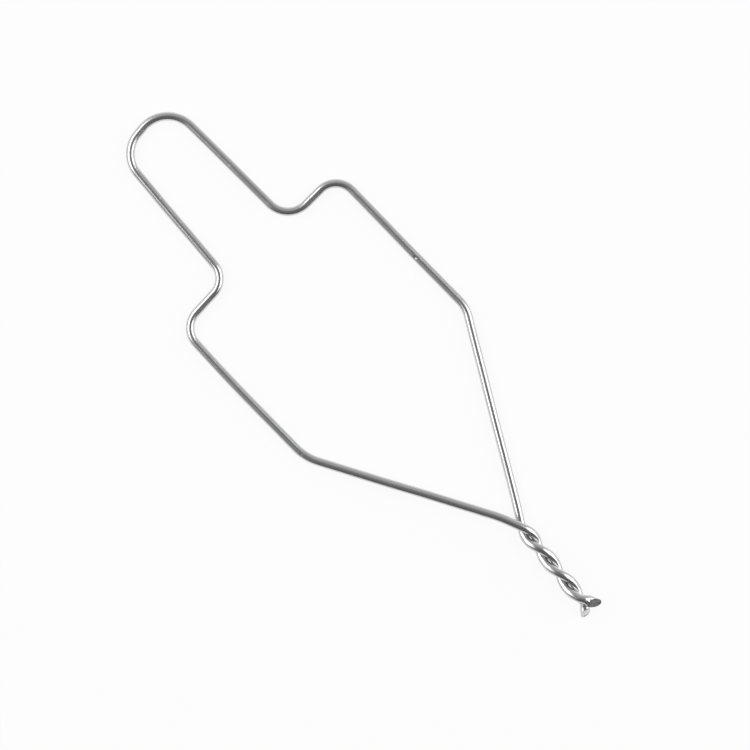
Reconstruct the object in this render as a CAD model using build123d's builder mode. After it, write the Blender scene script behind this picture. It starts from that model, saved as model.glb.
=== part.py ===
from build123d import *
import os
from math import cos, hypot, radians, sin, tan

os.makedirs("parts", exist_ok=True)

# A hand-bent loop of laboratory form wire: one length of bright round wire in a flat,
# bottle-shaped loop, with its two ends twisted round each other to make a short tail.
# Millimetres. The loop lies flat, +Z up, the nose points along +Y and the tail along -Y,
# and the origin is under the middle of the whole thing. Left is -X and right is +X.
# The bends were made by hand, so the two sides differ a little.

# ---- the wire ----
wire_diameter = 1.6

# ---- lengths of the loop, between the corners of its bends, along Y ----
leg_length = 36.0  # from where the two legs cross to where the sides turn in
body_length = 33.15  # from there up the sides to the shoulders
neck_step = 0.25  # the neck starts this much further on than the shoulders
neck_length = 30.5  # from the neck's corners to the corners of the nose

# ---- widths of the loop, between the corners of its bends, along X ----
taper_width = 39.9
shoulder_width = 39.55
neck_width = 15.25
nose_width = 12.55

# ---- how far each pair of corners stands right of the crossing ----
taper_offset = 0.45
shoulder_offset = 0.5
neck_offset = 0.35
nose_offset = 0.95

# ---- how much further out the right corner of each pair lies than the left ----
taper_skew = -0.6
shoulder_skew = 0.65
neck_skew = -0.3
nose_skew = 1.2

left_side_bow = 0.26  # the left side isn't quite straight, and bows outwards by this

# ---- bend radii, to the middle of the wire: left, right ----
taper_radii = (9.7, 6.3)
shoulder_radii = (4.1, 4.0)
neck_radii = (4.0, 4.6)
nose_radii = (5.6, 5.9)

# ---- the twisted tail, a left-handed double helix ----
strand_gap = 0.03  # air between the two strands, which lie along each other
tail_lean = 4.8  # degrees, the tail leans to the left of the loop's long axis
first_half_turn = 5.0  # along the tail; the legs open the first half turn is tighter
later_half_turn = 5.85
half_turns = 3
arcs_per_half_turn = 4  # each strand's helix is made of this many tangent arcs
run_in = 4.4  # each leg runs straight into the twist over this length

# ---- how far an eased bend may reach along its runs, as shares of their length ----
easing_share = 0.45  # of the shorter run beside it
room_share = 0.96  # of a run, for the two bends at its ends together

# ---- the two free ends: left, right ----
lead_lengths = (1.1, 1.1)  # along the strand, from the last crossing to the end's elbow
lead_splays = (-5.0, 42.0)  # degrees, how far that length stands off the tail's axis
stub_lengths = (1.9, 1.6)  # from the elbow to the middle of the cut face
stub_splays = (31.0, 26.0)  # degrees, how far the stub stands off the tail's axis
stub_dips = (0.0, 18.0)  # degrees, how steeply the stub runs down
cut_slants = (40.0, 45.0)  # degrees, how far the cut face leans up from upright
cut_swings = (24.0, -22.0)  # degrees, how far the cut face looks round anticlockwise
cut_margin = 0.2  # spare wire past the far edge of each cut, which the cutter clears
cutter_clearance = 0.01  # the cutter stands off the wire's skin by this, all round
cutter_reach = 5.0  # along the wire from the middle of the cut face, past the spare wire

# ---- worked out from the sizes above ----
wire_radius = wire_diameter / 2
strand_spacing = wire_diameter + strand_gap
cutter_radius = wire_radius + cutter_clearance
arc_step = 180 / arcs_per_half_turn
# The arcs touch the middles of the runs between these corners, so the corners stand out.
corner_radius = strand_spacing / 2 / cos(radians(arc_step / 2))
tail_axis = Vector(-sin(radians(tail_lean)), -cos(radians(tail_lean)))
tail_side = Vector(cos(radians(tail_lean)), -sin(radians(tail_lean)))
up = Vector(0, 0, 1)


def corner_pair(reach, width, offset, skew):
    """The left and right corner of a pair of bends, at this reach from the leg crossing."""
    left = Vector(offset - width / 2, reach - skew / 2)
    right = Vector(offset + width / 2, reach + skew / 2)
    return left, right


def twist_corner(step, phase):
    """A corner of one strand's route round the tail's axis, counted from the leg crossing."""
    tight_steps = min(step, arcs_per_half_turn)
    loose_steps = step - tight_steps
    travel = tight_steps * first_half_turn + loose_steps * later_half_turn
    turn = radians(phase + step * arc_step)
    sideways = tail_side * (corner_radius * sin(turn))
    lift = up * (corner_radius * (1 + cos(turn)))
    return tail_axis * (travel / arcs_per_half_turn) + sideways + lift


def splayed(side, splay):
    """A level direction that stands off the tail's axis to one side."""
    return tail_axis * cos(radians(splay)) + tail_side * (side * sin(radians(splay)))


def dipped(level, dip):
    """The direction that runs down from a level one at this angle."""
    return level * cos(radians(dip)) - up * sin(radians(dip))


def strand(phase, lead, end):
    """One strand of the tail: its run in from the leg, its turns, its elbow and its end."""
    last_step = half_turns * arcs_per_half_turn
    turns = [twist_corner(step, phase) for step in range(last_step + 1)]
    first_run = turns[1] - turns[0]
    flat_run = Vector(first_run.X, first_run.Y).normalized()
    run_in_start = turns[0] - flat_run * run_in
    elbow = turns[-1] + lead
    return [run_in_start] + turns + [elbow, elbow + end]


def cut_facing(level, slant, swing):
    """The direction that the slanted cut face of a free end looks in, outwards and up."""
    return level.rotate(Axis.Z, swing) * cos(radians(slant)) + up * sin(radians(slant))


def slanted_end(cut, heading):
    """How far along Y a free end reaches past its cut face's middle."""
    level = heading.cross(up).normalized()
    reaches = []
    for spoke in (level, level.cross(heading)):
        run_out = spoke.dot(cut.z_dir) / heading.dot(cut.z_dir)
        reaches.append(spoke.Y - heading.Y * run_out)
    return cut.origin.Y - wire_radius * hypot(*reaches)


def bend_radii(route, known):
    """A radius for each corner of the route: a known one, or one that eases the corner.

    A bend is never larger than the straight runs beside it leave room for.
    """
    runs = [after - before for before, after in zip(route, route[1:])]
    half_turn_tans = []
    wanted = []
    for index, (arriving, leaving) in enumerate(zip(runs, runs[1:]), start=1):
        half_turn_tan = tan(radians(arriving.get_angle(leaving) / 2))
        easing = easing_share * min(arriving.length, leaving.length)
        half_turn_tans.append(half_turn_tan)
        wanted.append(known.get(index, easing / half_turn_tan) * half_turn_tan)
    shares = [1.0]
    for run, before, after in zip(runs[1:-1], wanted, wanted[1:]):
        shares.append(min(1.0, room_share * run.length / (before + after)))
    shares.append(1.0)
    radii = []
    for index, (reach, half_turn_tan) in enumerate(zip(wanted, half_turn_tans)):
        radii.append(reach * min(shares[index], shares[index + 1]) / half_turn_tan)
    return radii


# ---- the route of the wire's middle, with the leg crossing at zero for now ----
shoulder_reach = leg_length + body_length
neck_reach = shoulder_reach + neck_step
nose_reach = neck_reach + neck_length

taper = corner_pair(leg_length, taper_width, taper_offset, taper_skew)
shoulder = corner_pair(shoulder_reach, shoulder_width, shoulder_offset, shoulder_skew)
neck = corner_pair(neck_reach, neck_width, neck_offset, neck_skew)
nose = corner_pair(nose_reach, nose_width, nose_offset, nose_skew)
left_side_middle = (taper[0] + shoulder[0]) / 2 - Vector(left_side_bow, 0)

# The left strand starts on top, at the leg crossing, and the right one under it.
strands = []
headings = []
draft_cuts = []
for hand, (side, phase) in enumerate(((-1, 0), (1, 180))):
    level = splayed(side, stub_splays[hand])
    heading = dipped(level, stub_dips[hand])
    lead = splayed(side, lead_splays[hand]) * lead_lengths[hand]
    facing = cut_facing(level, cut_slants[hand], cut_swings[hand])
    overhang = wire_radius * tan(radians(heading.get_angle(facing))) + cut_margin
    longways = facing.cross(heading).cross(facing)
    corners = strand(phase, lead, heading * (stub_lengths[hand] + overhang))
    middle = corners[-2] + heading * stub_lengths[hand]
    strands.append(corners)
    headings.append(heading)
    draft_cuts.append(Plane(origin=middle, x_dir=longways, z_dir=facing))
left_strand, right_strand = strands

left_corners = [taper[0], left_side_middle, shoulder[0], neck[0], nose[0]]
right_corners = [nose[1], neck[1], shoulder[1], taper[1]]
route = left_strand[::-1] + left_corners + right_corners + right_strand

first = len(left_strand)
known_radii = {
    first: taper_radii[0],
    first + 2: shoulder_radii[0],
    first + 3: neck_radii[0],
    first + 4: nose_radii[0],
    first + 5: nose_radii[1],
    first + 6: neck_radii[1],
    first + 7: shoulder_radii[1],
    first + 8: taper_radii[1],
}
radii = bend_radii(route, known_radii)

# ---- the origin goes under the middle of the loop, on the surface it lies on ----
with BuildLine() as draft_route:
    FilletPolyline(*route, radius=radii)
reach_box = draft_route.line.bounding_box()
tail_end = min(slanted_end(cut, heading) for cut, heading in zip(draft_cuts, headings))
middle_x = (reach_box.min.X + reach_box.max.X) / 2
middle_y = (tail_end + reach_box.max.Y + wire_radius) / 2
shift = Vector(-middle_x, -middle_y, wire_radius - reach_box.min.Z)
placed_route = [corner + shift for corner in route]
cuts = [Plane(cut.origin + shift, cut.x_dir, cut.z_dir) for cut in draft_cuts]

# ---- the wire ----
with BuildPart() as loop_wire:
    with BuildLine() as centreline:
        FilletPolyline(*placed_route, radius=radii)
    start_plane = Plane(origin=centreline.line @ 0, z_dir=centreline.line % 0)
    with BuildSketch(start_plane):
        Circle(wire_radius)
    sweep(path=centreline.line)
    # both ends are sheared off at a slant, each by a cutter that follows its own wire
    for cut, heading in zip(cuts, headings):
        with BuildSketch(cut):
            Ellipse(cutter_radius / heading.dot(cut.z_dir), cutter_radius)
        extrude(amount=cutter_reach, dir=heading, mode=Mode.SUBTRACT)

loop_wire.part.label = "loop_wire"
export_step(loop_wire.part, "parts/loop_wire.step")
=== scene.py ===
"""A hand-bent wire loop with a twisted tail, modelled and dressed round its frame."""

import logging
import math
from dataclasses import dataclass, field
from enum import Enum

import bpy
import numpy as np
from mathutils import Matrix, Vector, noise


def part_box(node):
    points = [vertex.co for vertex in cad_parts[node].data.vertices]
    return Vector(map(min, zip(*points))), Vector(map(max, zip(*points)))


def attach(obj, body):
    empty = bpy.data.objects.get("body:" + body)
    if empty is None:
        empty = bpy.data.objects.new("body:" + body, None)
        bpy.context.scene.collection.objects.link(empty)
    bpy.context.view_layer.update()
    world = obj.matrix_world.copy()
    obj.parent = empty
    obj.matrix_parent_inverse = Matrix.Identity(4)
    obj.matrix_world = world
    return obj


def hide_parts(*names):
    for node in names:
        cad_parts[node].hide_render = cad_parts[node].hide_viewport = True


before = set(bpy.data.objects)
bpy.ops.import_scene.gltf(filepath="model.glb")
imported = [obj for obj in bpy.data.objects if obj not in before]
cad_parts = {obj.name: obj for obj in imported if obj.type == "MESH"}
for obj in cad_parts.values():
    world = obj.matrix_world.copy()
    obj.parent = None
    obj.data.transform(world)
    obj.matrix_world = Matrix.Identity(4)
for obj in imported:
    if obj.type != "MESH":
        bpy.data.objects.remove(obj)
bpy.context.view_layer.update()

LOG = logging.getLogger("wire_loop")
MM = 0.001
UP = Vector((0.0, 0.0, 1.0))
NODE = "loop_wire"
DRAWN_COORDINATES = "drawn_coordinates"


class Side(Enum):
    """The two sides of the loop, by the sign of X."""

    LEFT = -1
    RIGHT = 1


class Skin(Enum):
    """The kinds of surface on the wire, by their material slot on the mesh."""

    DRAWN = 0
    SHEARED = 1
    # The torn skin's slot takes a finish darkened as painted shade, for the dark reflection on the
    # right end's cut face.
    TORN_AND_SHADED = 2


# ---------------------------------------------------------------- sizes


@dataclass(frozen=True)
class BendPair:
    """Two matching bends, one on each side of the loop's long axis, in millimetres.

    Attributes:
        reach: Distance along Y from the leg crossing to the middle of the pair.
        width: Distance between the two corners.
        offset: How far the pair stands right of the crossing.
        skew: How much further out the right corner lies than the left.
        radii: Bend radii to the middle of the wire, left then right.
    """

    reach: float
    width: float
    offset: float
    skew: float
    radii: tuple[float, float]

    def corner(self, side: Side) -> Vector:
        """Finds one corner of the pair.

        Args:
            side: Which side of the loop.

        Returns:
            The corner, in millimetres from the leg crossing.
        """
        x = self.offset + side.value * self.width / 2
        y = self.reach + side.value * self.skew / 2
        return Vector((x, y, 0.0))

    def radius(self, side: Side) -> float:
        """Returns the bend radius on one side."""
        return self.radii[0] if side is Side.LEFT else self.radii[1]


@dataclass(frozen=True)
class FreeEnd:
    """One sheared end of the wire, in millimetres and degrees.

    Attributes:
        side: The side of the tail that it stands off to.
        phase: Where its strand starts round the tail's axis; 0 is on top.
        lead: Length from the last crossing to the end's elbow.
        lead_splay: Angle off the tail's axis before the elbow.
        stub: Length from the elbow to the middle of the cut face.
        splay: Angle off the tail's axis after the elbow.
        dip: How steeply the end runs down after the elbow.
        slant: How far the cut face leans up from square to the wire.
        swing: How far the cut face looks round anticlockwise.
        flare: How much wider the cutters squeezed the tip, as a share of the wire.
        flare_length: How far back from the cut the squeezing reaches.
        skin: The surface of the cut face.
    """

    side: Side
    phase: float
    lead: float
    lead_splay: float
    stub: float
    splay: float
    dip: float
    slant: float
    swing: float
    flare: float
    flare_length: float
    skin: Skin


@dataclass(frozen=True)
class ToolMark:
    """A small nick that the forming pliers left in the wire, in millimetres.

    Attributes:
        place: A point on the wire's middle beside the nick, from the leg crossing.
        roll: Angle from the top of the wire towards +X, in degrees.
        length: Half the nick's length along the wire.
        width: Half the nick's width across the wire.
        depth: Depth of the nick.
        skew: Angle that the nick is turned on the surface, in degrees.
    """

    place: tuple[float, float]
    roll: float
    length: float
    width: float
    depth: float
    skew: float


@dataclass(frozen=True)
class LoopOutline:
    """The flat bottle-shaped loop: four pairs of bends and a bowed left side."""

    taper: BendPair = BendPair(36.0, 39.9, 0.45, -0.6, (9.7, 6.3))
    shoulder: BendPair = BendPair(69.15, 39.55, 0.5, 0.65, (4.1, 4.0))
    neck: BendPair = BendPair(69.4, 15.25, 0.35, -0.3, (4.0, 4.6))
    nose: BendPair = BendPair(99.9, 12.55, 0.95, 1.2, (5.6, 5.9))
    left_side_bow: float = 0.26

    def corners(self) -> list[tuple[Vector, float | None]]:
        """Lists the loop's corners from the left leg round to the right leg.

        Returns:
            Each corner with its bend radius, or None where the bend is only eased.
        """
        bow = (self.taper.corner(Side.LEFT) + self.shoulder.corner(Side.LEFT)) / 2
        bow.x -= self.left_side_bow
        left = [(pair.corner(Side.LEFT), pair.radius(Side.LEFT)) for pair in self.pairs()]
        right = [(pair.corner(Side.RIGHT), pair.radius(Side.RIGHT)) for pair in self.pairs()]
        return left[:1] + [(bow, None)] + left[1:] + right[::-1]

    def pairs(self) -> tuple[BendPair, BendPair, BendPair, BendPair]:
        """Returns the pairs of bends from the legs to the nose."""
        return self.taper, self.shoulder, self.neck, self.nose


@dataclass(frozen=True)
class TwistedTail:
    """The two strands twisted round each other, in millimetres and degrees.

    Attributes:
        wire_diameter: Diameter of the wire.
        strand_gap: Air between the strands.
        lean: How far the tail leans to the left of the loop's long axis.
        first_half_turn: Length of the first half turn.
        later_half_turn: Length of each later half turn.
        half_turns: Number of half turns.
        arcs_per_half_turn: Number of tangent arcs that make up half a turn.
        run_in: Straight length over which each leg runs into the twist.
    """

    wire_diameter: float = 1.6
    strand_gap: float = 0.03
    lean: float = 4.8
    first_half_turn: float = 5.0
    later_half_turn: float = 5.85
    half_turns: int = 3
    arcs_per_half_turn: int = 4
    run_in: float = 4.4

    @property
    def axis(self) -> Vector:
        """The direction of the tail, from the crossing to the free ends."""
        lean = math.radians(self.lean)
        return Vector((-math.sin(lean), -math.cos(lean), 0.0))

    @property
    def across(self) -> Vector:
        """The direction across the tail, to the right."""
        lean = math.radians(self.lean)
        return Vector((math.cos(lean), -math.sin(lean), 0.0))

    def corner(self, step: int, phase: float) -> Vector:
        """Finds a corner of one strand's route round the tail's axis.

        Args:
            step: Number of arcs from the leg crossing.
            phase: Where the strand starts round the axis, in degrees.

        Returns:
            The corner, in millimetres from the leg crossing.
        """
        arc_step = 180 / self.arcs_per_half_turn
        reach = (self.wire_diameter + self.strand_gap) / 2
        reach /= math.cos(math.radians(arc_step / 2))
        tight = min(step, self.arcs_per_half_turn)
        travel = tight * self.first_half_turn + (step - tight) * self.later_half_turn
        turn = math.radians(phase + step * arc_step)
        sideways = self.across * (reach * math.sin(turn))
        lift = UP * (reach * (1 + math.cos(turn)))
        return self.axis * (travel / self.arcs_per_half_turn) + sideways + lift

    def _level(self, end: FreeEnd, splay: float) -> Vector:
        """Returns a level direction that splays off the tail's axis to one end's side."""
        turn = math.radians(splay) * end.side.value
        return self.axis * math.cos(turn) + self.across * math.sin(turn)

    def heading(self, end: FreeEnd) -> Vector:
        """Returns the direction of a free end after its elbow."""
        dip = math.radians(end.dip)
        return self._level(end, end.splay) * math.cos(dip) - UP * math.sin(dip)

    def facing(self, end: FreeEnd) -> Vector:
        """Returns the outward normal of a cut face."""
        level = self._level(end, end.splay)
        level = Matrix.Rotation(math.radians(end.swing), 3, "Z") @ level
        slant = math.radians(end.slant)
        return level * math.cos(slant) + UP * math.sin(slant)

    def elbow(self, end: FreeEnd) -> Vector:
        """Returns the corner where a free end turns to its last heading."""
        last = self.corner(self.half_turns * self.arcs_per_half_turn, end.phase)
        return last + self._level(end, end.lead_splay) * end.lead

    def strand(self, end: FreeEnd) -> list[Vector]:
        """Lists the corners of one strand, from its leg to its free end.

        Args:
            end: The free end that the strand runs to.

        Returns:
            The corners, in millimetres. The last one is past the cut face.
        """
        last = self.half_turns * self.arcs_per_half_turn
        turns = [self.corner(step, end.phase) for step in range(last + 1)]
        first_run = turns[1] - turns[0]
        first_run.z = 0.0
        lead = turns[0] - first_run.normalized() * self.run_in
        elbow = self.elbow(end)
        tip = elbow + self.heading(end) * (end.stub + self.overhang(end))
        return [lead] + turns + [elbow, tip]

    def overhang(self, end: FreeEnd) -> float:
        """Returns how far the uncut wire runs past the middle of a cut face."""
        return self.wire_diameter * math.tan(math.radians(end.slant))


# ---------------------------------------------------------------- the route


@dataclass(frozen=True)
class Bend:
    """One bend of the wire's route, in metres.

    Attributes:
        start: Where the bend begins.
        end: Where it ends.
        centre: The centre that the wire turns about.
        axis: The axis of the turn, by the right-hand rule.
        turn: The angle of the turn, in radians.
        radius: The radius to the middle of the wire.
    """

    start: Vector
    end: Vector
    centre: Vector
    axis: Vector
    turn: float
    radius: float


class WireRoute:
    """The route of the wire's middle: straight runs joined by tangent bends."""

    EASING = 0.45
    ROOM = 0.96

    def __init__(self, outline: LoopOutline, tail: TwistedTail, ends: dict[Side, FreeEnd]):
        """Works out the route.

        Args:
            outline: The flat loop.
            tail: The twisted tail.
            ends: The free end of each strand, by the side of the leg it belongs to.
        """
        left = tail.strand(ends[Side.LEFT])[::-1]
        right = tail.strand(ends[Side.RIGHT])
        loop = outline.corners()
        self.corners = [c * MM for c in left + [c for c, _ in loop] + right]
        known = {len(left) + i: r * MM for i, (_, r) in enumerate(loop) if r is not None}
        self.radii = self._radii(known)
        self.bends = [self._bend(i) for i in range(1, len(self.corners) - 1)]

    def _runs(self) -> list[Vector]:
        """Returns the vectors from each corner to the next."""
        return [b - a for a, b in zip(self.corners, self.corners[1:])]

    def _radii(self, known: dict[int, float]) -> list[float]:
        """Finds a radius for each inner corner, no larger than its runs leave room for.

        Args:
            known: The chosen radii, by the corner's place in the route.

        Returns:
            One radius for each inner corner.
        """
        runs = self._runs()
        tans = [math.tan(a.angle(b) / 2) for a, b in zip(runs, runs[1:])]
        tangents = []
        for i, half_turn_tan in enumerate(tans):
            eased = self.EASING * min(runs[i].length, runs[i + 1].length)
            tangents.append(known[i + 1] * half_turn_tan if i + 1 in known else eased)
        shares = [1.0]
        for run, before, after in zip(runs[1:-1], tangents, tangents[1:]):
            shares.append(min(1.0, self.ROOM * run.length / (before + after)))
        shares.append(1.0)
        return [
            tangent * min(shares[i], shares[i + 1]) / tans[i]
            for i, tangent in enumerate(tangents)
        ]

    def _bend(self, place: int) -> Bend:
        """Works out the bend at one corner.

        Args:
            place: The corner's place in the route.

        Returns:
            The bend.
        """
        before, corner, after = self.corners[place - 1:place + 2]
        arriving = (corner - before).normalized()
        leaving = (after - corner).normalized()
        radius = self.radii[place - 1]
        turn = arriving.angle(leaving)
        tangent = radius * math.tan(turn / 2)
        axis = arriving.cross(leaving).normalized()
        start = corner - arriving * tangent
        centre = start + axis.cross(arriving) * radius
        return Bend(start, corner + leaving * tangent, centre, axis, turn, radius)


# ---------------------------------------------------------------- the wire


@dataclass
class WireLoop:
    """The whole piece: one wire, bent, twisted at its ends and sheared off.

    Attributes:
        outline: The flat loop.
        tail: The twisted tail.
        ends: The two sheared ends, by the side of the leg that they belong to.
        marks: The nicks that the pliers left.
        facets: Number of sides of the modelled wire.
        run_pitch: Distance between rings of vertices on the straights.
        bend_pitch: Distance between rings round the bends.
        tip_pitch: Distance between rings at the free ends.
        mark_pitch: Distance between rings at a nick.
        tip_reach: How far back from each end the rings stand at tip_pitch.
        mark_reach: How far from a nick the rings stand at mark_pitch.
        flattening: How much a tight bend flattens the wire, as a share of its radius.
        bulge: How much of the flattening goes into widening the wire.
        plain_bend: The bend radius, and any smaller one, that flattens the wire fully.
        thinning: How much a squeezed tip thins, as a share of how much it widens.
        flare_ramp: How much sooner than its length a tip reaches its full flare.
        wander: How far the hand-straightened wire strays from its route.
        still_length: Length at each end of the wire that doesn't wander.
        fade_length: Length over which the wandering then sets in.
        tear_depth: Depth of the torn part of a cut.
        rolled_rim: Where the rolled-over rim of a cut starts, as a share of its radius.
        cut_rings: How much each ring of a cut face is smaller than the one outside it.
    """

    outline: LoopOutline = LoopOutline()
    tail: TwistedTail = TwistedTail()
    ends: dict[Side, FreeEnd] = field(default_factory=lambda: {
        Side.LEFT: FreeEnd(
            side=Side.LEFT, phase=0.0, lead=1.1, lead_splay=-5.0, stub=1.9, splay=31.0, dip=0.0,
            slant=40.0, swing=24.0, flare=0.12, flare_length=1.5, skin=Skin.SHEARED,
        ),
        # This end's cut face takes the darkened torn finish: painted shade on a torn face.
        Side.RIGHT: FreeEnd(
            side=Side.RIGHT, phase=180.0, lead=1.1, lead_splay=42.0, stub=1.6, splay=26.0, dip=18.0,
            slant=45.0, swing=-22.0, flare=0.3, flare_length=2.2, skin=Skin.TORN_AND_SHADED,
        ),
    })
    marks: tuple[ToolMark, ...] = (
        ToolMark((20.35, 48.55), roll=-15.0, length=0.28, width=0.45, depth=0.042, skew=35.0),
        ToolMark((-19.5, 37.4), roll=0.0, length=0.3, width=0.5, depth=0.022, skew=0.0),
    )
    facets: int = 40
    run_pitch: float = 0.8
    bend_pitch: float = 0.25
    tip_pitch: float = 0.12
    mark_pitch: float = 0.07
    tip_reach: float = 5.0
    mark_reach: float = 1.6
    flattening: float = 0.03
    bulge: float = 0.6
    plain_bend: float = 5.0
    thinning: float = 0.7
    flare_ramp: float = 1.5
    wander: float = 0.02
    still_length: float = 32.0
    fade_length: float = 8.0
    tear_depth: float = 0.06
    rolled_rim: float = 0.82
    cut_rings: tuple[float, ...] = (0.95, 0.93, 0.9, 0.88, 0.86, 0.83, 0.8, 0.75, 0.65, 0.5)

    def __post_init__(self) -> None:
        """Works out the route and starts with no rings."""
        self.radius = self.tail.wire_diameter / 2 * MM
        self.route = WireRoute(self.outline, self.tail, self.ends)
        self.along: list[float] = [0.0]
        self.squeeze: list[Vector] = [Vector()]
        self.stub_rings: dict[Side, np.ndarray] = {}
        self.object: bpy.types.Object | None = None

    def build(self) -> bpy.types.Object:
        """Models the wire and puts it where the frame says.

        Returns:
            The finished object, at the origin with its place in its mesh.
        """
        self._start_ring()
        self._bend_wire()
        self._read_rings()
        self._shape_by_hand()
        self._seat_on_frame()
        self._keep_drawn_coordinates()
        for side, end in self.ends.items():
            self._close_end(side, end)
        self._finish_mesh()
        return self.object

    # ---- bending

    def _start_ring(self) -> None:
        """Adds the first ring of the wire, square to its first run."""
        first_run = self.route.corners[1] - self.route.corners[0]
        bpy.ops.object.select_all(action="DESELECT")
        bpy.ops.mesh.primitive_circle_add(
            vertices=self.facets,
            radius=self.radius,
            fill_type="NOTHING",
            location=self.route.corners[0],
            rotation=first_run.to_track_quat("Z", "Y").to_euler(),
        )
        self.object = bpy.context.object
        self.object.name = "bent_wire"
        bpy.ops.object.transform_apply(location=True, rotation=True, scale=True)

    def _bend_wire(self) -> None:
        """Draws the ring along every run and spins it round every bend."""
        bpy.ops.object.mode_set(mode="EDIT")
        bpy.ops.mesh.select_mode(type="EDGE")
        bpy.ops.mesh.select_all(action="SELECT")
        place = self.route.corners[0]
        for bend in self.route.bends:
            self._draw_run(place, bend.start)
            if place == self.route.corners[0]:
                self.stub_rings[Side.LEFT] = np.arange(len(self.along) - 1, -1, -1)
            self._spin_bend(bend)
            place = bend.end
        last_bend_ring = len(self.along) - 1
        self._draw_run(place, self.route.corners[-1])
        self.stub_rings[Side.RIGHT] = np.arange(last_bend_ring, len(self.along))
        bpy.ops.object.mode_set(mode="OBJECT")

    def _pitch(self, point: Vector, plain: float) -> float:
        """Finds how far apart the rings should be at a point of the route.

        Args:
            point: A point in metres.
            plain: The distance between rings away from nicks and ends, in millimetres.

        Returns:
            The distance, in metres.
        """
        flat = Vector((point.x, point.y)) / MM
        if any((flat - Vector(mark.place)).length < self.mark_reach for mark in self.marks):
            return self.mark_pitch * MM
        tips = (self.route.corners[0], self.route.corners[-1])
        if any((point - tip).length < self.tip_reach * MM for tip in tips):
            return self.tip_pitch * MM
        return plain * MM

    def _draw_run(self, start: Vector, end: Vector) -> None:
        """Extrudes the open ring along a straight run.

        Args:
            start: Where the ring is.
            end: Where the run ends.
        """
        run = end - start
        done = 0.0
        while done < run.length - 1e-9:
            here = start + run.normalized() * done
            left = run.length - done
            step = left / max(1, math.ceil(left / self._pitch(here, self.run_pitch)))
            bpy.ops.mesh.extrude_region_move(
                TRANSFORM_OT_translate={"value": run.normalized() * step}
            )
            done += step
            self.along.append(self.along[-1] + step)
            self.squeeze.append(Vector())

    def _spin_bend(self, bend: Bend) -> None:
        """Spins the open ring round one bend.

        Args:
            bend: The bend.
        """
        length = bend.radius * bend.turn
        pitch = self._pitch((bend.start + bend.end) / 2, self.bend_pitch)
        steps = max(2, math.ceil(length / pitch))
        bpy.ops.mesh.spin(
            steps=steps, angle=-bend.turn, center=bend.centre, axis=bend.axis
        )
        arm = bend.start - bend.centre
        tightness = min(1.0, (self.plain_bend * MM / bend.radius) ** 2)
        for step in range(1, steps + 1):
            share = step / steps
            turned = Matrix.Rotation(bend.turn * share, 3, bend.axis) @ arm
            strength = tightness * math.sin(math.pi * share) ** 0.5 if share < 1 else 0.0
            self.along.append(self.along[-1] + length / steps)
            self.squeeze.append(turned.normalized() * strength)

    # ---- shaping

    def _read_rings(self) -> None:
        """Reads the rings' centres and directions from the mesh."""
        points = self._points().reshape(-1, self.facets, 3)
        self.centres = points.mean(axis=1)
        tangents = np.gradient(self.centres, axis=0)
        self.tangents = tangents / np.linalg.norm(tangents, axis=1)[:, None]
        starts = points[:, 0] - self.centres
        self.starts = starts / np.linalg.norm(starts, axis=1)[:, None]

    def _points(self) -> np.ndarray:
        """Returns the mesh's vertices as an array."""
        points = np.empty(len(self.object.data.vertices) * 3)
        self.object.data.vertices.foreach_get("co", points)
        return points.reshape(-1, 3)

    def _set_points(self, points: np.ndarray) -> None:
        """Moves the mesh's vertices to an array of places."""
        self.object.data.vertices.foreach_set("co", points.ravel())
        self.object.data.update()

    def _shape_by_hand(self) -> None:
        """Gives the wire what hands and pliers did to it."""
        rings = self._points().reshape(-1, self.facets, 3)
        out = rings - self.centres[:, None]
        out = self._flatten_bends(out)
        out = self._flare_ends(out)
        out = self._press_marks(out)
        centres = self.centres + self._wandering()
        rings = centres[:, None] + out
        for side, end in self.ends.items():
            rings = self._slant_stub(rings, side, end)
        self._set_points(rings.reshape(-1, 3))

    def _slant_stub(self, rings: np.ndarray, side: Side, end: FreeEnd) -> np.ndarray:
        """Draws the rings of a stub in so that the last one lies on its cut face.

        Args:
            rings: Every vertex, by ring.
            side: Which end.
            end: Its sizes.

        Returns:
            The same, with the stub slanted.
        """
        heading = np.array(self.tail.heading(end))
        middle, normal = self._cut_plane(end, Vector())
        stub = self.stub_rings[side]
        gone = ((rings[stub] - self.centres[stub[0]]) * heading).sum(axis=2)
        reach = ((np.array(middle) - rings[stub]) * np.array(normal)).sum(axis=2)
        reach = gone + reach / heading.dot(np.array(normal))
        full = self.centres[stub[-1]] - self.centres[stub[0]]
        share = gone / np.linalg.norm(full)
        rings[stub] += (reach * share - gone)[:, :, None] * heading
        return rings

    def _flatten_bends(self, out: np.ndarray) -> np.ndarray:
        """Flattens the wire towards each bend's centre and widens it across.

        Args:
            out: Each vertex from its ring's centre.

        Returns:
            The same, shaped.
        """
        squeeze = np.array([list(v) for v in self.squeeze])
        strength = np.linalg.norm(squeeze, axis=1)[:, None, None]
        arm = squeeze / np.maximum(strength[:, :, 0], 1e-9)
        inwards = (out * arm[:, None]).sum(axis=2, keepdims=True) * arm[:, None]
        along = (out * self.tangents[:, None]).sum(axis=2, keepdims=True) * self.tangents[:, None]
        across = out - inwards - along
        change = self.flattening * strength
        return out - inwards * change + across * change * self.bulge

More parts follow.
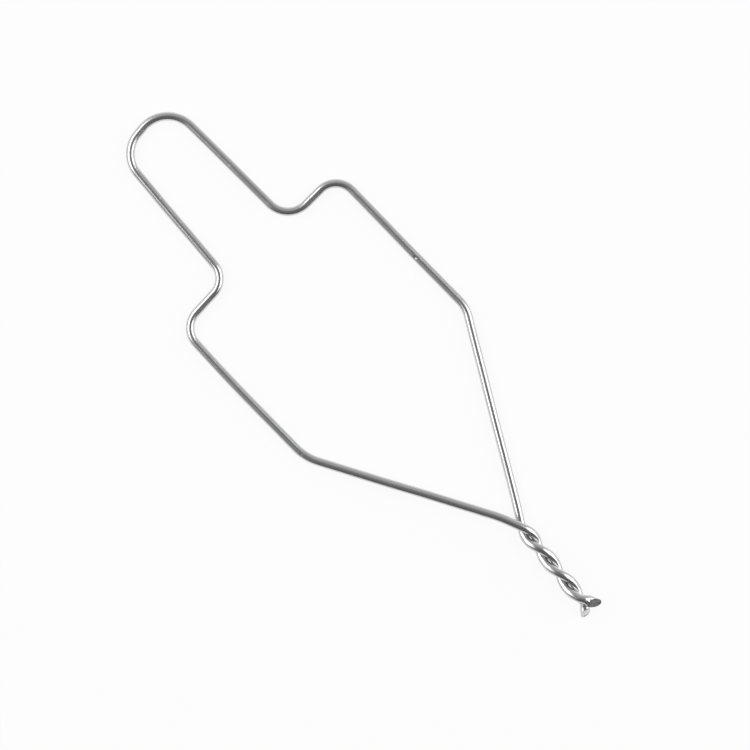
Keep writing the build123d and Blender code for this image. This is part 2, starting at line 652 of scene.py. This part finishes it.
    def _flare_ends(self, out: np.ndarray) -> np.ndarray:
        """Widens and thins the wire at its tips, as side cutters squeeze it.

        Args:
            out: Each vertex from its ring's centre.

        Returns:
            The same, shaped.
        """
        along = np.array(self.along) / MM
        for side, end in self.ends.items():
            from_tip = along if side is Side.LEFT else along[-1] - along
            overhang = self.tail.overhang(end)
            ramp = np.clip((end.flare_length - from_tip + overhang) / end.flare_length, 0.0, 1.0)
            ramp = np.clip(ramp * self.flare_ramp, 0.0, 1.0)
            ramp = (ramp * ramp * (3 - 2 * ramp))[:, None, None]
            level = np.cross(self.tangents, np.array(UP))
            level /= np.linalg.norm(level, axis=1)[:, None]
            upright = np.cross(level, self.tangents)
            sideways = (out * level[:, None]).sum(axis=2, keepdims=True) * level[:, None]
            height = (out * upright[:, None]).sum(axis=2, keepdims=True) * upright[:, None]
            out = out + ramp * end.flare * (sideways - height * self.thinning)
        return out

    def _press_marks(self, out: np.ndarray) -> np.ndarray:
        """Presses the pliers' nicks into the wire.

        Args:
            out: Each vertex from its ring's centre.

        Returns:
            The same, shaped.
        """
        for mark in self.marks:
            place = np.array([*mark.place, 0.0]) * MM
            ring = np.linalg.norm(self.centres - place, axis=1).argmin()
            tangent = self.tangents[ring]
            side = np.cross(tangent, np.array(UP))
            side *= np.sign(side[0])
            roll = math.radians(mark.roll)
            normal = math.cos(roll) * np.array(UP) + math.sin(roll) * side
            across = np.cross(tangent, normal)
            offset = out + (self.centres - self.centres[ring])[:, None]
            a = (offset * tangent).sum(axis=2) / MM
            b = (offset * across).sum(axis=2) / MM
            skew = math.radians(mark.skew)
            turned_a = a * math.cos(skew) + b * math.sin(skew)
            turned_b = b * math.cos(skew) - a * math.sin(skew)
            press = np.exp(-((turned_a / mark.length) ** 4)
                           - (turned_b / mark.width) ** 2)
            press *= ((offset * normal).sum(axis=2) > 0) * mark.depth * MM
            out = out - press[:, :, None] * normal
        return out

    def _wandering(self) -> np.ndarray:
        """Makes the slow, small wandering of wire that was straightened by hand.

        Returns:
            A shift for each ring, in metres, that fades out in the twisted tail.
        """
        along = np.array(self.along) / MM
        total = along[-1]
        inside = np.minimum(along, total - along) - self.still_length
        fade = np.clip(inside / self.fade_length, 0.0, 1.0)
        side = np.cross(self.tangents, np.array(UP))
        sway = np.sin(along / 2.9 + 0.4) * 0.5 + np.sin(along / 1.7 + 2.0) * 0.2
        sway += np.sin(along / 5.3 + 1.1)
        rise = np.sin(along / 3.7 + 0.9) * 0.35
        shift = side * sway[:, None] + np.array(UP) * np.abs(rise)[:, None]
        return shift * (fade * self.wander * MM)[:, None]

    def _seat_on_frame(self) -> None:
        """Moves the wire so that its nose, sides and underside meet the frame's box."""
        low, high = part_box(NODE)
        points = self._points()
        shift = Vector((
            (low.x + high.x - points[:, 0].max() - points[:, 0].min()) / 2,
            high.y - points[:, 1].max(),
            low.z - points[:, 2].min(),
        ))
        self.shift = shift
        self.centres = self.centres + np.array(shift)
        self._set_points(points + np.array(shift))

    def _keep_drawn_coordinates(self) -> None:
        """Lays a vector on each vertex that follows the wire, for its patterns.

        X and Y go round the wire, and Z is the distance along it in wire radii.
        """
        count = len(self.along)
        turn = np.tile(np.arange(self.facets) * 2 * math.pi / self.facets, count)
        along = np.repeat(np.array(self.along) / self.radius, self.facets)
        drawn = np.stack([np.cos(turn), np.sin(turn), along], axis=1)
        layer = self.object.data.attributes.new(DRAWN_COORDINATES, "FLOAT_VECTOR", "POINT")
        layer.data.foreach_set("vector", drawn.ravel())

    # ---- cutting

    def _cut_plane(self, end: FreeEnd, shift: Vector) -> tuple[Vector, Vector]:
        """Finds the plane of a sheared end.

        Args:
            end: The free end.
            shift: Where the leg crossing is.

        Returns:
            A point on the plane and its outward normal.
        """
        middle = (self.tail.elbow(end) + self.tail.heading(end) * end.stub) * MM + shift
        return middle, self.tail.facing(end)

    def _close_end(self, side: Side, end: FreeEnd) -> None:
        """Closes one end with a cut face of shrinking rings.

        Args:
            side: Which end.
            end: Its sizes.
        """
        middle, normal = self._cut_plane(end, self.shift)
        mesh = self.object.data
        rim = self.stub_rings[side][-1] * self.facets
        bpy.ops.object.mode_set(mode="EDIT")
        bpy.ops.mesh.select_mode(type="VERT")
        bpy.ops.mesh.select_all(action="DESELECT")
        bpy.ops.object.mode_set(mode="OBJECT")
        for index in range(rim, rim + self.facets):
            mesh.vertices[index].select = True
        bpy.ops.object.mode_set(mode="EDIT")
        bpy.ops.mesh.edge_face_add()
        bpy.ops.mesh.select_mode(type="FACE")
        for shrink in self.cut_rings:
            bpy.ops.mesh.extrude_region_move(TRANSFORM_OT_translate={"value": (0, 0, 0)})
            bpy.ops.transform.resize(value=(shrink,) * 3, center_override=middle)
        bpy.ops.object.mode_set(mode="OBJECT")
        for face in mesh.polygons:
            if self._on_cut(face, middle, normal):
                face.material_index = end.skin.value
        self._tear(middle, normal)

    def _on_cut(self, face: bpy.types.MeshPolygon, middle: Vector, normal: Vector) -> bool:
        """Tells whether a face lies on a cut.

        Args:
            face: The face.
            middle: The middle of the cut.
            normal: Its outward normal.

        Returns:
            True where the face is near the middle and in the cut's plane.
        """
        offset = face.center - middle
        near = offset.length < 3 * self.radius
        return near and abs(offset.dot(normal)) < 0.01 * self.radius

    def _finish_mesh(self) -> None:
        """Smooths the wire and points every face outwards."""
        bpy.ops.object.mode_set(mode="EDIT")
        bpy.ops.mesh.select_all(action="SELECT")
        bpy.ops.mesh.normals_make_consistent(inside=False)
        bpy.ops.object.mode_set(mode="OBJECT")
        bpy.ops.object.shade_smooth_by_angle(angle=math.radians(35))

    def _tear(self, middle: Vector, normal: Vector) -> None:
        """Rolls the near rim of a cut over and tears its far half, as shearing does.

        Args:
            middle: The middle of the cut.
            normal: Its outward normal.
        """
        mesh = self.object.data
        cut = sorted({v for face in mesh.polygons if self._on_cut(face, middle, normal)
                      for v in face.vertices})
        downhill = (normal * normal.dot(UP) - UP).normalized()
        side = normal.cross(downhill)
        falls = [(mesh.vertices[i].co - middle).dot(downhill) for i in cut]
        widths = [(mesh.vertices[i].co - middle).dot(side) for i in cut]
        for index, fall, width in zip(cut, falls, widths):
            vertex = mesh.vertices[index]
            fall /= max(falls)
            edge = min(1.0, math.hypot(fall, width / max(widths)))
            torn = min(1.0, max(0.0, fall * 1.6 + 0.35)) * (1.0 - edge ** 6)
            bump = noise.noise(vertex.co / (0.3 * MM)) * 0.7
            bump += noise.noise(vertex.co / (0.12 * MM)) * 0.3
            rolled = max(0.0, edge - self.rolled_rim) / (1.0 - self.rolled_rim)
            rolled *= max(0.0, 0.6 - fall)
            vertex.co += normal * (self.tear_depth * MM) * (bump * torn - 0.5 * torn - rolled)


# ---------------------------------------------------------------- finishes


class NodeTree:
    """A small helper that adds and joins shader nodes."""

    def __init__(self, tree: bpy.types.NodeTree):
        """Starts with a node tree.

        Args:
            tree: The tree to add to.
        """
        self.tree = tree

    def add(self, kind: str, **settings: object) -> bpy.types.Node:
        """Adds a node.

        Args:
            kind: The node's type.
            **settings: Properties to set, or sockets by name with _ for a space.

        Returns:
            The node.
        """
        node = self.tree.nodes.new(kind)
        for name, value in settings.items():
            if hasattr(node, name):
                setattr(node, name, value)
            else:
                node.inputs[name.replace("_", " ")].default_value = value
        return node

    def join(self, source: bpy.types.NodeSocket, target: bpy.types.NodeSocket) -> None:
        """Joins two sockets."""
        self.tree.links.new(source, target)

    def math(self, operation: str, *values: object) -> bpy.types.NodeSocket:
        """Adds a maths node.

        Args:
            operation: What it does.
            *values: Its inputs, each a number or a socket.

        Returns:
            Its output.
        """
        node = self.tree.nodes.new("ShaderNodeMath")
        node.operation = operation
        for slot, value in zip(node.inputs, values):
            if isinstance(value, bpy.types.NodeSocket):
                self.join(value, slot)
            else:
                slot.default_value = value
        return node.outputs[0]

    def span(self, value: bpy.types.NodeSocket, low: float, high: float,
             to_low: float, to_high: float) -> bpy.types.NodeSocket:
        """Maps a value smoothly from one range to another.

        Args:
            value: The value.
            low: Start of its range.
            high: End of its range.
            to_low: What the start becomes.
            to_high: What the end becomes.

        Returns:
            The mapped value.
        """
        node = self.tree.nodes.new("ShaderNodeMapRange")
        node.interpolation_type = "SMOOTHSTEP"
        self.join(value, node.inputs["Value"])
        node.inputs["From Min"].default_value = low
        node.inputs["From Max"].default_value = high
        node.inputs["To Min"].default_value = to_low
        node.inputs["To Max"].default_value = to_high
        return node.outputs["Result"]

    def tint(self, share: bpy.types.NodeSocket, first: tuple[float, float, float],
             second: tuple[float, float, float]) -> bpy.types.NodeSocket:
        """Mixes two colours.

        Args:
            share: How much of the second colour shows.
            first: The first colour.
            second: The second colour.

        Returns:
            The mixed colour.
        """
        node = self.tree.nodes.new("ShaderNodeMix")
        node.data_type = "RGBA"
        node.inputs[6].default_value = (*first, 1.0)
        node.inputs[7].default_value = (*second, 1.0)
        self.join(share, node.inputs["Factor"])
        return node.outputs[2]


def cut_grain_group() -> bpy.types.NodeTree:
    """Builds the group that makes the grain of a cut face.

    Returns:
        A group with the input Scale, and outputs Grain and Patch.
    """
    group = bpy.data.node_groups.new("cut_grain", "ShaderNodeTree")
    scale = group.interface.new_socket("Scale", in_out="INPUT", socket_type="NodeSocketFloat")
    scale.default_value = 4000.0
    for name in ("Grain", "Patch"):
        group.interface.new_socket(name, in_out="OUTPUT", socket_type="NodeSocketFloat")
    tree = NodeTree(group)
    start = tree.add("NodeGroupInput")
    end = tree.add("NodeGroupOutput")
    where = tree.add("ShaderNodeTexCoord")
    grain = tree.add("ShaderNodeTexNoise", Detail=3.0, Roughness=0.6)
    tree.join(where.outputs["Object"], grain.inputs["Vector"])
    tree.join(start.outputs["Scale"], grain.inputs["Scale"])
    tree.join(grain.outputs["Fac"], end.inputs["Grain"])
    tree.join(tree.span(grain.outputs["Fac"], 0.4, 0.62, 0.0, 1.0), end.inputs["Patch"])
    return group


def drawn_lines_group() -> bpy.types.NodeTree:
    """Builds the group that makes lines drawn out along the wire.

    Returns:
        A group with inputs Lines and Stretch, and outputs Fine and Broad.
    """
    group = bpy.data.node_groups.new("drawn_lines", "ShaderNodeTree")
    for name, value in (("Lines", 14.0), ("Stretch", 0.05)):
        socket = group.interface.new_socket(name, in_out="INPUT", socket_type="NodeSocketFloat")
        socket.default_value = value
    for name in ("Fine", "Broad"):
        group.interface.new_socket(name, in_out="OUTPUT", socket_type="NodeSocketFloat")
    tree = NodeTree(group)
    start = tree.add("NodeGroupInput")
    end = tree.add("NodeGroupOutput")
    wrap = tree.add("ShaderNodeAttribute", attribute_name=DRAWN_COORDINATES)
    parts = tree.add("ShaderNodeSeparateXYZ")
    tree.join(wrap.outputs["Vector"], parts.inputs[0])
    packed = tree.add("ShaderNodeCombineXYZ")
    tree.join(parts.outputs[0], packed.inputs[0])
    tree.join(parts.outputs[1], packed.inputs[1])
    tree.join(tree.math("MULTIPLY", parts.outputs[2], start.outputs["Stretch"]), packed.inputs[2])
    for name, share, detail in (("Fine", 1.0, 3.0), ("Broad", 0.22, 2.0)):
        texture = tree.add("ShaderNodeTexNoise", Detail=detail, Roughness=0.6)
        tree.join(packed.outputs[0], texture.inputs["Vector"])
        tree.join(tree.math("MULTIPLY", start.outputs["Lines"], share), texture.inputs["Scale"])
        tree.join(texture.outputs["Fac"], end.inputs[name])
    return group


@dataclass(frozen=True)
class DrawnWireFinish:
    """Bright drawn steel wire: fine lines along it, handling smudges and small pits.

    Attributes:
        light: Colour of clean metal.
        dull: Colour of handled metal.
        smooth: Roughness of clean metal.
        rough: Roughness of handled metal.
        line_depth: Depth of the drawn lines, in metres.
        pit_depth: Depth of the pits, in metres.
    """

    light: tuple[float, float, float] = (0.66, 0.66, 0.665)
    dull: tuple[float, float, float] = (0.57, 0.57, 0.575)
    smooth: float = 0.2
    rough: float = 0.3
    line_depth: float = 2.5e-6
    pit_depth: float = 8e-6

    def material(self, lines: bpy.types.NodeTree) -> bpy.types.Material:
        """Builds the material.

        Args:
            lines: The drawn-lines group.

        Returns:
            The material.
        """
        made = bpy.data.materials.new("bright_drawn_wire")
        made.use_nodes = True
        tree = NodeTree(made.node_tree)
        shader = made.node_tree.nodes["Principled BSDF"]
        shader.inputs["Metallic"].default_value = 1.0
        drawn = tree.add("ShaderNodeGroup", node_tree=lines)
        drawn.inputs["Lines"].default_value = 16.0
        drawn.inputs["Stretch"].default_value = 0.03
        where = tree.add("ShaderNodeTexCoord")
        smudge = tree.add("ShaderNodeTexNoise", Scale=160.0, Detail=3.0, Roughness=0.55)
        tree.join(where.outputs["Object"], smudge.inputs["Vector"])
        handled = tree.span(smudge.outputs["Fac"], 0.4, 0.68, 0.0, 1.0)
        streak = tree.span(drawn.outputs["Broad"], 0.3, 0.7, 0.0, 1.0)
        worn = tree.math("ADD", tree.math("MULTIPLY", handled, 0.45),
                         tree.math("MULTIPLY", streak, 0.55))
        tree.join(tree.tint(worn, self.light, self.dull), shader.inputs["Base Color"])
        tree.join(tree.span(worn, 0.0, 1.0, self.smooth, self.rough), shader.inputs["Roughness"])
        pits = tree.add("ShaderNodeTexVoronoi", Scale=900.0)
        tree.join(where.outputs["Object"], pits.inputs["Vector"])
        pit = tree.span(pits.outputs["Distance"], 0.05, 0.2, 1.0, 0.0)
        height = tree.math("SUBTRACT", tree.math("MULTIPLY", drawn.outputs["Fine"], self.line_depth),
                           tree.math("MULTIPLY", pit, self.pit_depth))
        bump = tree.add("ShaderNodeBump", Strength=1.0, Distance=1.0)
        tree.join(height, bump.inputs["Height"])
        tree.join(bump.outputs["Normal"], shader.inputs["Normal"])
        return made


@dataclass(frozen=True)
class CutFaceFinish:
    """Bare metal where cutters went through the wire, smeared in places and torn in others; the torn
    finish's colours are darkened as painted shade.

    Attributes:
        name: The material's name.
        smeared: Colour of the parts that the blade smeared.
        torn: Colour of the parts that broke away.
        smooth: Roughness of the smeared parts.
        rough: Roughness of the torn parts.
        grain_depth: Depth of the grain, in metres.
    """

    name: str
    smeared: tuple[float, float, float]
    torn: tuple[float, float, float]
    smooth: float
    rough: float
    grain_depth: float

    def material(self, grain: bpy.types.NodeTree) -> bpy.types.Material:
        """Builds the material.

        Args:
            grain: The cut-grain group.

        Returns:
            The material.
        """
        made = bpy.data.materials.new(self.name)
        made.use_nodes = True
        tree = NodeTree(made.node_tree)
        shader = made.node_tree.nodes["Principled BSDF"]
        shader.inputs["Metallic"].default_value = 1.0
        cut = tree.add("ShaderNodeGroup", node_tree=grain)
        patch = cut.outputs["Patch"]
        tree.join(tree.tint(patch, self.smeared, self.torn), shader.inputs["Base Color"])
        tree.join(tree.span(patch, 0.0, 1.0, self.smooth, self.rough), shader.inputs["Roughness"])
        bump = tree.add("ShaderNodeBump", Strength=1.0, Distance=1.0)
        tree.join(tree.math("MULTIPLY", cut.outputs["Grain"], self.grain_depth), bump.inputs["Height"])
        tree.join(bump.outputs["Normal"], shader.inputs["Normal"])
        return made


SHEARED_FINISH = CutFaceFinish(
    "sheared_metal", (0.72, 0.72, 0.725), (0.56, 0.56, 0.565), 0.2, 0.3, 4e-6
)
# The torn finish is far darker than bare steel. Part of that is the duller torn metal, and the rest is
# painted shade for the dark reflection on the right end's cut face.
DARKENED_TORN_FINISH = CutFaceFinish(
    "torn_metal_painted_shade", (0.3, 0.3, 0.305), (0.12, 0.12, 0.12), 0.34, 0.5, 9e-6
)


# ---------------------------------------------------------------- the studio


@dataclass(frozen=True)
class Softbox:
    """One soft lamp beside the object, in metres and degrees.

    Attributes:
        name: The lamp's name.
        bearing: Its direction in the picture, anticlockwise from the right.
        elevation: Its height above the horizon.
        distance: How far it stands.
        width: Its width.
        height: Its height.
        radiance: How bright its face is, where 1 is white.
    """

    name: str
    bearing: float
    elevation: float
    distance: float
    width: float
    height: float
    radiance: float


@dataclass(frozen=True)
class Studio:
    """The floor, lamps, surroundings and camera.

    Attributes:
        camera_height: Height of the camera over the loop.
        frame_width: Width of the picture at the loop.
        roll: How far the picture's up leans from +Y, in degrees.
        aim: The point under the camera, from the origin.
        floor_size: Side of the floor.
        floor_glow: Share of the floor's white that no shadow dims.
        boxes: The soft lamps.
        zenith: Brightness of the room overhead.
        sides: Brightness of its walls at the picture's left and top.
        rise: How far from overhead it reaches that brightness, as a sine.
        shade: How much darker the room is below the picture's bottom edge.
        darkest: The least brightness anywhere in the room.
    """

    camera_height: float = 0.600
    frame_width: float = 0.13635
    roll: float = -44.0
    aim: tuple[float, float] = (-0.0004, -0.0019)
    floor_size: float = 6.0
    floor_glow: float = 0.9
    boxes: tuple[Softbox, ...] = (
        Softbox("right_softbox", 5.4, 32.0, 0.9, 0.87, 0.75, 2.3),
        Softbox("left_softbox", 166.0, 42.0, 0.9, 0.96, 0.59, 2.5),
    )
    zenith: float = 0.24
    sides: float = 0.68
    rise: float = 0.85
    shade: float = 0.33
    darkest: float = 0.17

    def build(self) -> None:
        """Builds the whole studio."""
        self._floor()
        for box in self.boxes:
            self._lamp(box)
        self._surroundings()
        self._camera()

    def _picture_direction(self, bearing: float) -> Vector:
        """Turns a bearing in the picture into a level direction in the scene.

        Args:
            bearing: Degrees anticlockwise from the picture's right.

        Returns:
            The direction.
        """
        turn = math.radians(bearing + self.roll)
        return Vector((math.cos(turn), math.sin(turn), 0.0))

    def _floor(self) -> None:
        """Adds the plain white floor, which keeps a faint shadow."""
        bpy.ops.object.select_all(action="DESELECT")
        bpy.ops.mesh.primitive_plane_add(size=self.floor_size, location=(0, 0, 0))
        floor = bpy.context.object
        floor.name = "floor"
        made = bpy.data.materials.new("white_floor")
        made.use_nodes = True
        tree = NodeTree(made.node_tree)
        made.node_tree.nodes.remove(made.node_tree.nodes["Principled BSDF"])
        paper = tree.add("ShaderNodeBsdfDiffuse", Color=(0.95, 0.95, 0.95, 1.0))
        white = tree.add("ShaderNodeEmission", Color=(1.0, 1.0, 1.0, 1.0), Strength=1.0)
        rays = tree.add("ShaderNodeLightPath")
        seen = tree.math("MAXIMUM", rays.outputs["Is Camera Ray"], rays.outputs["Is Glossy Ray"])
        seen = tree.math("MAXIMUM", seen, rays.outputs["Is Transmission Ray"])
        blend = tree.add("ShaderNodeMixShader")
        tree.join(tree.math("MULTIPLY", seen, self.floor_glow), blend.inputs[0])
        tree.join(paper.outputs[0], blend.inputs[1])
        tree.join(white.outputs[0], blend.inputs[2])
        tree.join(blend.outputs[0], made.node_tree.nodes["Material Output"].inputs["Surface"])
        floor.data.materials.append(made)

    def _lamp(self, box: Softbox) -> None:
        """Adds one soft lamp that faces the object.

        Args:
            box: The lamp's sizes and place.
        """
        rise = math.radians(box.elevation)
        away = self._picture_direction(box.bearing) * math.cos(rise) + UP * math.sin(rise)
        data = bpy.data.lights.new(box.name, "AREA")
        data.shape = "RECTANGLE"
        data.size = box.width
        data.size_y = box.height
        data.energy = box.radiance * math.pi * box.width * box.height
        lamp = bpy.data.objects.new(box.name, data)
        lamp.location = away * box.distance
        lamp.rotation_euler = away.to_track_quat("Z", "Y").to_euler()
        lamp.visible_camera = False
        bpy.context.collection.objects.link(lamp)

    def _surroundings(self) -> None:
        """Sets the room: dark overhead and below the picture, lighter at its top."""
        world = bpy.data.worlds.new("room")
        bpy.context.scene.world = world
        world.use_nodes = True
        tree = NodeTree(world.node_tree)
        world.node_tree.nodes.clear()
        where = tree.add("ShaderNodeTexCoord")
        parts = tree.add("ShaderNodeSeparateXYZ")
        tree.join(where.outputs["Generated"], parts.inputs[0])
        level = []
        for bearing in (0.0, 90.0):
            axis = self._picture_direction(bearing)
            level.append(tree.math("ADD", tree.math("MULTIPLY", parts.outputs[0], axis.x),
                                   tree.math("MULTIPLY", parts.outputs[1], axis.y)))
        across, towards = level
        beyond = tree.math("MAXIMUM", towards, 0.0)
        left = tree.math("MINIMUM", across, 0.0)
        squares = tree.math("ADD", tree.math("MULTIPLY", left, left),
                            tree.math("MULTIPLY", beyond, beyond))
        walls = tree.span(tree.math("SQRT", squares), 0.0, self.rise, self.zenith, self.sides)
        room = tree.math("SUBTRACT", walls, tree.span(towards, -1.0, 0.0, self.shade, 0.0))
        room = tree.math("MAXIMUM", room, self.darkest)
        rays = tree.add("ShaderNodeLightPath")
        light = tree.add("ShaderNodeMix", data_type="FLOAT")
        tree.join(rays.outputs["Is Camera Ray"], light.inputs["Factor"])
        tree.join(room, light.inputs["A"])
        light.inputs["B"].default_value = 1.0
        glow = tree.add("ShaderNodeBackground")
        tree.join(light.outputs["Result"], glow.inputs["Strength"])
        end = tree.add("ShaderNodeOutputWorld")
        tree.join(glow.outputs[0], end.inputs["Surface"])

    def _camera(self) -> None:
        """Adds the camera, straight above the loop."""
        data = bpy.data.cameras.new("overhead_camera")
        data.sensor_width = 36.0
        data.lens = data.sensor_width * self.camera_height / self.frame_width
        data.clip_start = 0.01
        camera = bpy.data.objects.new("overhead_camera", data)
        camera.location = (*self.aim, self.camera_height)
        camera.rotation_euler = (0.0, 0.0, math.radians(self.roll))
        bpy.context.collection.objects.link(camera)
        bpy.context.scene.camera = camera


# ---------------------------------------------------------------- the whole scene


def main() -> None:
    """Builds the wire, dresses it and sets up the studio."""
    logging.basicConfig(level=logging.INFO, format="%(name)s: %(message)s")
    Studio().build()
    LOG.info("studio ready")
    loop = WireLoop()
    wire = loop.build()
    wire.data.materials.append(DrawnWireFinish().material(drawn_lines_group()))
    grain = cut_grain_group()
    for finish in (SHEARED_FINISH, DARKENED_TORN_FINISH):
        wire.data.materials.append(finish.material(grain))
    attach(wire, "root")
    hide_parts(NODE)
    LOG.info("%s: %d rings, %d faces", wire.name, len(loop.along), len(wire.data.polygons))
    scene = bpy.context.scene
    scene.view_settings.view_transform = "Standard"


if __name__ == "__main__":
    main()
